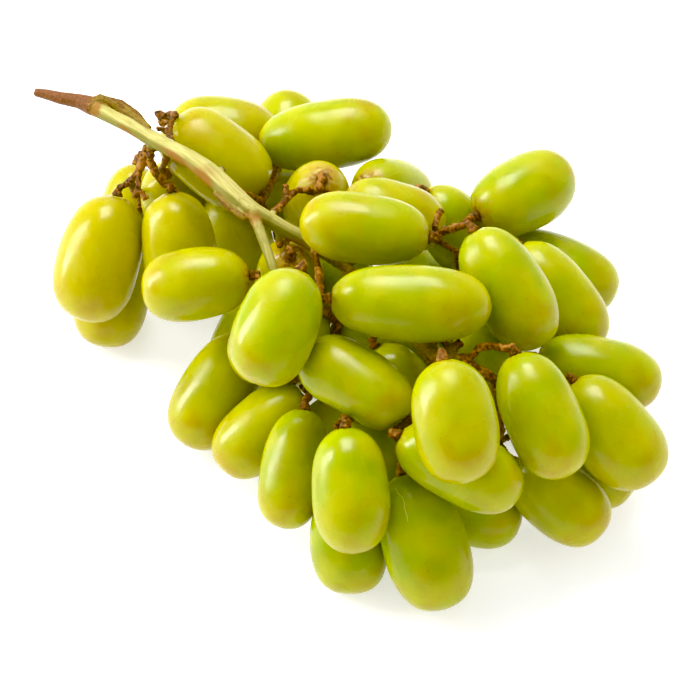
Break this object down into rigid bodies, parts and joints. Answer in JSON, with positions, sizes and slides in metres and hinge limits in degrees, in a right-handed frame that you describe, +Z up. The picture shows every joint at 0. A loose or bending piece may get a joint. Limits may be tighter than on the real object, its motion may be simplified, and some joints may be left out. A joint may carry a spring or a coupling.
{
  "type": "bunch of grapes",
  "caption": "Bunch of long oval green table grapes lying on its side, with a branching stalk that ends in a cut woody peduncle with a short side shoot.",
  "frame": {"origin": "on the surface the bunch lies on, under the middle of its bounding box", "axes": "+Z up from the surface; +Y away from the front, from the lower end of the bunch towards the back, the longest way; +X to the right, with the cut end of the peduncle at the back left, towards -X and +Y"},
  "size_m": [0.1586, 0.1704, 0.0717],
  "materials": {
    "grape_skin": "thin translucent yellow-green skin with a faint waxy bloom",
    "stalk": "pale cream-green to dark brown, fibrous and warty, dry"
  },
  "bodies": {
    "root": {"stalk": "stalk", "grape_01": "grape_skin", "grape_02": "grape_skin", "grape_03": "grape_skin", "grape_04": "grape_skin", "grape_05": "grape_skin", "grape_06": "grape_skin", "grape_07": "grape_skin", "grape_08": "grape_skin", "grape_09": "grape_skin", "grape_10": "grape_skin", "grape_11": "grape_skin", "grape_12": "grape_skin", "grape_13": "grape_skin", "grape_14": "grape_skin", "grape_15": "grape_skin", "grape_16": "grape_skin", "grape_17": "grape_skin", "grape_18": "grape_skin", "grape_19": "grape_skin", "grape_20": "grape_skin", "grape_21": "grape_skin", "grape_22": "grape_skin", "grape_23": "grape_skin", "grape_24": "grape_skin", "grape_25": "grape_skin", "grape_26": "grape_skin", "grape_27": "grape_skin", "grape_28": "grape_skin", "grape_29": "grape_skin", "grape_30": "grape_skin", "grape_31": "grape_skin", "grape_32": "grape_skin", "grape_33": "grape_skin", "grape_34": "grape_skin", "grape_35": "grape_skin", "grape_36": "grape_skin", "grape_37": "grape_skin", "grape_38": "grape_skin", "grape_39": "grape_skin", "grape_40": "grape_skin", "grape_41": "grape_skin", "grape_42": "grape_skin", "grape_43": "grape_skin", "grape_44": "grape_skin", "grape_45": "grape_skin", "grape_46": "grape_skin", "grape_47": "grape_skin", "grape_48": "grape_skin", "grape_49": "grape_skin", "grape_50": "grape_skin", "grape_51": "grape_skin", "grape_52": "grape_skin", "grape_53": "grape_skin", "grape_54": "grape_skin", "grape_55": "grape_skin", "grape_56": "grape_skin"}
  },
  "joints": []
}
